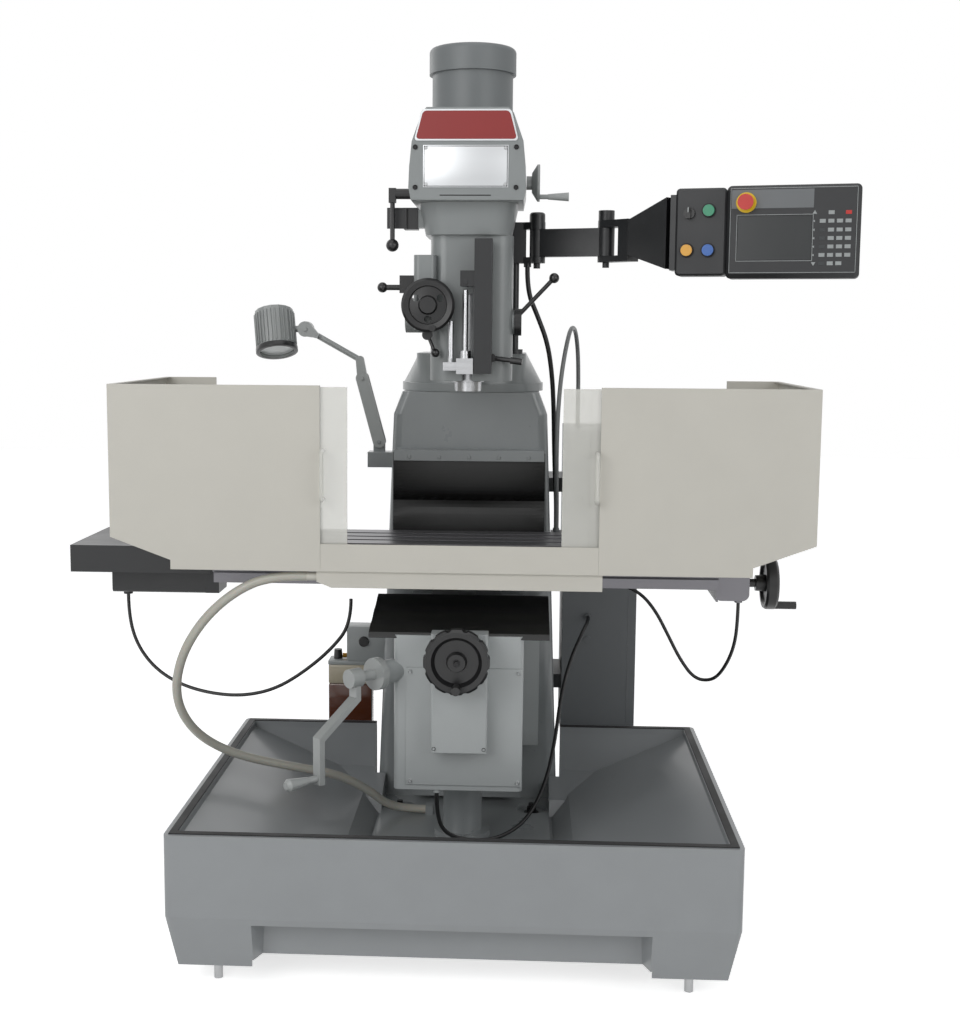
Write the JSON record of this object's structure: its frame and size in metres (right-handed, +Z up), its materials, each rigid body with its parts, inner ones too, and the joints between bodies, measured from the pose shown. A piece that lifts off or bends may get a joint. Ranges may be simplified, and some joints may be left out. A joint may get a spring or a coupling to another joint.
{
  "type": "cnc milling machine",
  "caption": "Knee-type vertical milling machine with a turret ram head, sliding table with splash guards, control pendant on an arm, work lamp and a chip tray round its base",
  "frame": {"origin": "midway between the four levelling screws of the chip tray, on the floor", "axes": "X along the table to the right, Y from the operator to the rear, Z up"},
  "size_m": [1.951, 1.501, 2.185],
  "materials": {
    "grey_paint": "semi-gloss grey enamel",
    "light_casting": "textured light grey enamel",
    "beige_sheet": "semi-gloss beige powder coat",
    "rubber": "matt",
    "bright_steel": "zinc plated",
    "ground_iron": "ground and scraped",
    "black_paint": "satin black",
    "silver_paint": "smooth silver-grey enamel",
    "motor_grey": "satin grey enamel",
    "black_handwheel": "moulded",
    "clear_sheet": "clear polycarbonate sheet",
    "ground_steel": "ground",
    "bare_plate": "satin",
    "pendant_case": "textured black",
    "green": "moulded",
    "amber": "moulded",
    "blue": "moulded",
    "black_knob": "moulded",
    "red": "moulded",
    "grey_tube": "satin grey",
    "oil_plastic": "translucent amber",
    "cable_black": "matt jacket",
    "hose_pale": "matt clear-grey",
    "conduit_grey": "braided"
  },
  "bodies": {
    "base": {"head_conduit": "conduit_grey", "chip_tray": "grey_paint", "tray_gasket": "rubber", "levelling_screws": "bright_steel", "column": "light_casting", "way_curtain": "rubber", "cabinet": "grey_paint", "lubricator": "oil_plastic"},
    "cabinet_lid": {"cabinet_lid": "grey_paint"},
    "knee": {"knee": "light_casting", "knee_cover": "light_casting", "front_way_cover": "rubber", "knee_cable": "cable_black"},
    "knee_crank": {"knee_crank": "silver_paint"},
    "y_wheel": {"y_handwheel": "black_handwheel"},
    "saddle": {"saddle": "light_casting"},
    "table": {"table": "ground_iron", "x_drive_motor": "black_paint", "x_drive_cover": "black_paint", "splash_pan": "beige_sheet", "drain_trough": "beige_sheet", "guard_left": "beige_sheet", "guard_right": "beige_sheet", "drain_hose": "hose_pale", "motor_cable": "cable_black", "table_cable": "cable_black"},
    "x_wheel": {"x_handwheel": "black_handwheel"},
    "door_left": {"door_left": "clear_sheet"},
    "door_right": {"door_right": "clear_sheet"},
    "turret": {"turret": "light_casting", "pendant_post": "black_paint", "pendant_cable": "cable_black"},
    "ram": {"ram": "light_casting"},
    "adapter": {"head_adapter": "light_casting"},
    "head": {"head_casting": "light_casting", "quill_scale": "black_paint", "belt_housing": "light_casting", "housing_plates": "bare_plate", "spindle_motor": "motor_grey", "drawbar_valve": "black_paint"},
    "quill": {"quill": "ground_steel"},
    "spindle": {"spindle": "ground_steel"},
    "speed_crank": {"speed_crank": "silver_paint"},
    "quill_wheel": {"quill_handwheel": "black_handwheel"},
    "feed_trip_lever": {"feed_trip_lever": "black_handwheel"},
    "quill_feed_handle": {"quill_feed_handle": "black_handwheel"},
    "quill_lock": {"quill_lock": "black_handwheel"},
    "brake_lever": {"brake_lever": "black_handwheel"},
    "feed_lever": {"feed_lever": "black_handwheel"},
    "arm_link": {"arm_link": "black_paint"},
    "pendant": {"arm_bracket": "black_paint", "pendant_case": "pendant_case"},
    "button_green": {"button_green": "green"},
    "button_amber": {"button_amber": "amber"},
    "button_blue": {"button_blue": "blue"},
    "selector_knob": {"selector_knob": "black_knob"},
    "emergency_stop": {"emergency_stop": "red"},
    "lamp_arm": {"lamp_arm": "silver_paint"},
    "lamp_tube": {"lamp_tube": "grey_tube"},
    "lamp_head": {"lamp_head": "bare_plate"}
  },
  "joints": [
    {"name": "knee_lift", "type": "slide", "parent": "base", "child": "knee", "axis": [0, 0, 1], "range_m": [-0.15, 0.23], "deforming": ["way_curtain", "knee_cable", "drain_hose"]},
    {"name": "saddle_feed", "type": "slide", "parent": "knee", "child": "saddle", "axis": [0, 1, 0], "range_m": [-0.239, 0.02], "deforming": ["front_way_cover", "drain_hose"]},
    {"name": "table_feed", "type": "slide", "parent": "saddle", "child": "table", "axis": [1, 0, 0], "range_m": [-0.35, 0.35], "deforming": ["motor_cable", "table_cable", "drain_hose"]},
    {"name": "knee_crank_turn", "type": "hinge", "parent": "knee", "child": "knee_crank", "pos_m": [-0.155, -0.168, 0.657], "axis": [-0.7071, -0.7071, 0], "range_deg": [-21600, 33120]},
    {"name": "y_handwheel_turn", "type": "hinge", "parent": "knee", "child": "y_wheel", "pos_m": [0, -0.26, 0.706], "axis": [0, 1, 0], "range_deg": [-17208, 1440]},
    {"name": "x_handwheel_turn", "type": "hinge", "parent": "table", "child": "x_wheel", "pos_m": [0.76, 0.207, 0.816], "axis": [1, 0, 0], "range_deg": [-25200, 25200]},
    {"name": "door_left_slide", "type": "slide", "parent": "table", "child": "door_left", "axis": [1, 0, 0], "range_m": [0, 0.246]},
    {"name": "door_right_slide", "type": "slide", "parent": "table", "child": "door_right", "axis": [1, 0, 0], "range_m": [-0.243, 0]},
    {"name": "turret_swivel", "type": "hinge", "parent": "base", "child": "turret", "pos_m": [0, 0.626, 1.3], "axis": [0, 0, 1], "range_deg": [-25, 40], "deforming": ["pendant_cable"]},
    {"name": "ram_slide", "type": "slide", "parent": "turret", "child": "ram", "axis": [0, 1, 0], "range_m": [-0.305, 0.02]},
    {"name": "head_nod", "type": "hinge", "parent": "ram", "child": "adapter", "pos_m": [0, 0.405, 1.48], "axis": [1, 0, 0], "range_deg": [-8, 8]},
    {"name": "head_tilt", "type": "hinge", "parent": "adapter", "child": "head", "pos_m": [0, 0.33, 1.52], "axis": [0, 1, 0], "range_deg": [-45, 2]},
    {"name": "quill_feed", "type": "slide", "parent": "head", "child": "quill", "axis": [0, 0, 1], "range_m": [-0.127, 0]},
    {"name": "spindle_spin", "type": "hinge", "parent": "quill", "child": "spindle", "pos_m": [0, 0.27, 1.31], "axis": [0, 0, 1], "continuous": true},
    {"name": "quill_wheel_turn", "type": "hinge", "parent": "head", "child": "quill_wheel", "pos_m": [-0.096, 0.13, 1.515], "axis": [0, 1, 0], "range_deg": [-18000, 0]},
    {"name": "speed_crank_turn", "type": "hinge", "parent": "head", "child": "speed_crank", "pos_m": [0.15, 0.23, 1.822], "axis": [1, 0, 0], "range_deg": [-1440, 1440]},
    {"name": "feed_trip_turn", "type": "hinge", "parent": "head", "child": "feed_trip_lever", "pos_m": [-0.1, 0.175, 1.4417], "axis": [0, 1, 0], "range_deg": [-15, 20]},
    {"name": "quill_feed_handle_turn", "type": "hinge", "parent": "head", "child": "quill_feed_handle", "pos_m": [0.13, 0.24, 1.475], "axis": [1, 0, 0], "range_deg": [-30, 40]},
    {"name": "quill_lock_turn", "type": "hinge", "parent": "head", "child": "quill_lock", "pos_m": [0.062, 0.175, 1.385], "axis": [0, 1, 0], "range_deg": [-15, 20]},
    {"name": "brake_turn", "type": "hinge", "parent": "head", "child": "brake_lever", "pos_m": [-0.16, 0.2, 1.792], "axis": [1, 0, 0], "range_deg": [-15, 15]},
    {"name": "feed_lever_turn", "type": "hinge", "parent": "head", "child": "feed_lever", "pos_m": [-0.15, 0.2, 1.568], "axis": [1, 0, 0], "range_deg": [-30, 30]},
    {"name": "arm_link_turn", "type": "hinge", "parent": "turret", "child": "arm_link", "pos_m": [0.175, 0.46, 1.69], "axis": [0, 0, 1], "range_deg": [-15, 60]},
    {"name": "pendant_turn", "type": "hinge", "parent": "arm_link", "child": "pendant", "pos_m": [0.356, 0.4, 1.69], "axis": [0, 0, 1], "range_deg": [-30, 50]},
    {"name": "press_green", "type": "slide", "parent": "pendant", "child": "button_green", "axis": [0.2215, 0.9751, 0], "range_m": [0, 0.004], "stiffness_N_per_m": 600, "springref_m": -0.001},
    {"name": "press_amber", "type": "slide", "parent": "pendant", "child": "button_amber", "axis": [0.2215, 0.9751, 0], "range_m": [0, 0.004], "stiffness_N_per_m": 600, "springref_m": -0.001},
    {"name": "press_blue", "type": "slide", "parent": "pendant", "child": "button_blue", "axis": [0.2215, 0.9751, 0], "range_m": [0, 0.004], "stiffness_N_per_m": 600, "springref_m": -0.001},
    {"name": "selector_turn", "type": "hinge", "parent": "pendant", "child": "selector_knob", "pos_m": [0.54618, 0.17069, 1.743], "axis": [-0.2215, -0.9751, 0], "range_deg": [-45, 45]},
    {"name": "stop_press", "type": "slide", "parent": "pendant", "child": "emergency_stop", "axis": [0.2215, 0.9751, 0], "range_m": [0, 0.006], "stiffness_N_per_m": 800, "springref_m": -0.001},
    {"name": "lamp_arm_tilt", "type": "hinge", "parent": "base", "child": "lamp_arm", "pos_m": [-0.253, 0.5, 1.148], "axis": [0, 1, 0], "range_deg": [-30, 12]},
    {"name": "lamp_tube_tilt", "type": "hinge", "parent": "lamp_arm", "child": "lamp_tube", "pos_m": [-0.3, 0.5, 1.322], "axis": [0, 1, 0], "range_deg": [-40, 30]},
    {"name": "lamp_head_tilt", "type": "hinge", "parent": "lamp_tube", "child": "lamp_head", "pos_m": [-0.456, 0.5, 1.455], "axis": [0, 1, 0], "range_deg": [-40, 40]},
    {"name": "cabinet_lid_swing", "type": "hinge", "parent": "base", "child": "cabinet_lid", "pos_m": [0.47, 0.88, 0.74], "axis": [0, 0, 1], "range_deg": [0, 110]}
  ],
  "couplings": [
    {"joint": "knee_crank_turn", "follows": "knee_lift", "rad_per_m": 2513.3},
    {"joint": "y_handwheel_turn", "follows": "saddle_feed", "rad_per_m": 1256.6},
    {"joint": "x_handwheel_turn", "follows": "table_feed", "rad_per_m": 1256.6},
    {"joint": "quill_wheel_turn", "follows": "quill_feed", "rad_per_m": 2473.7}
  ]
}
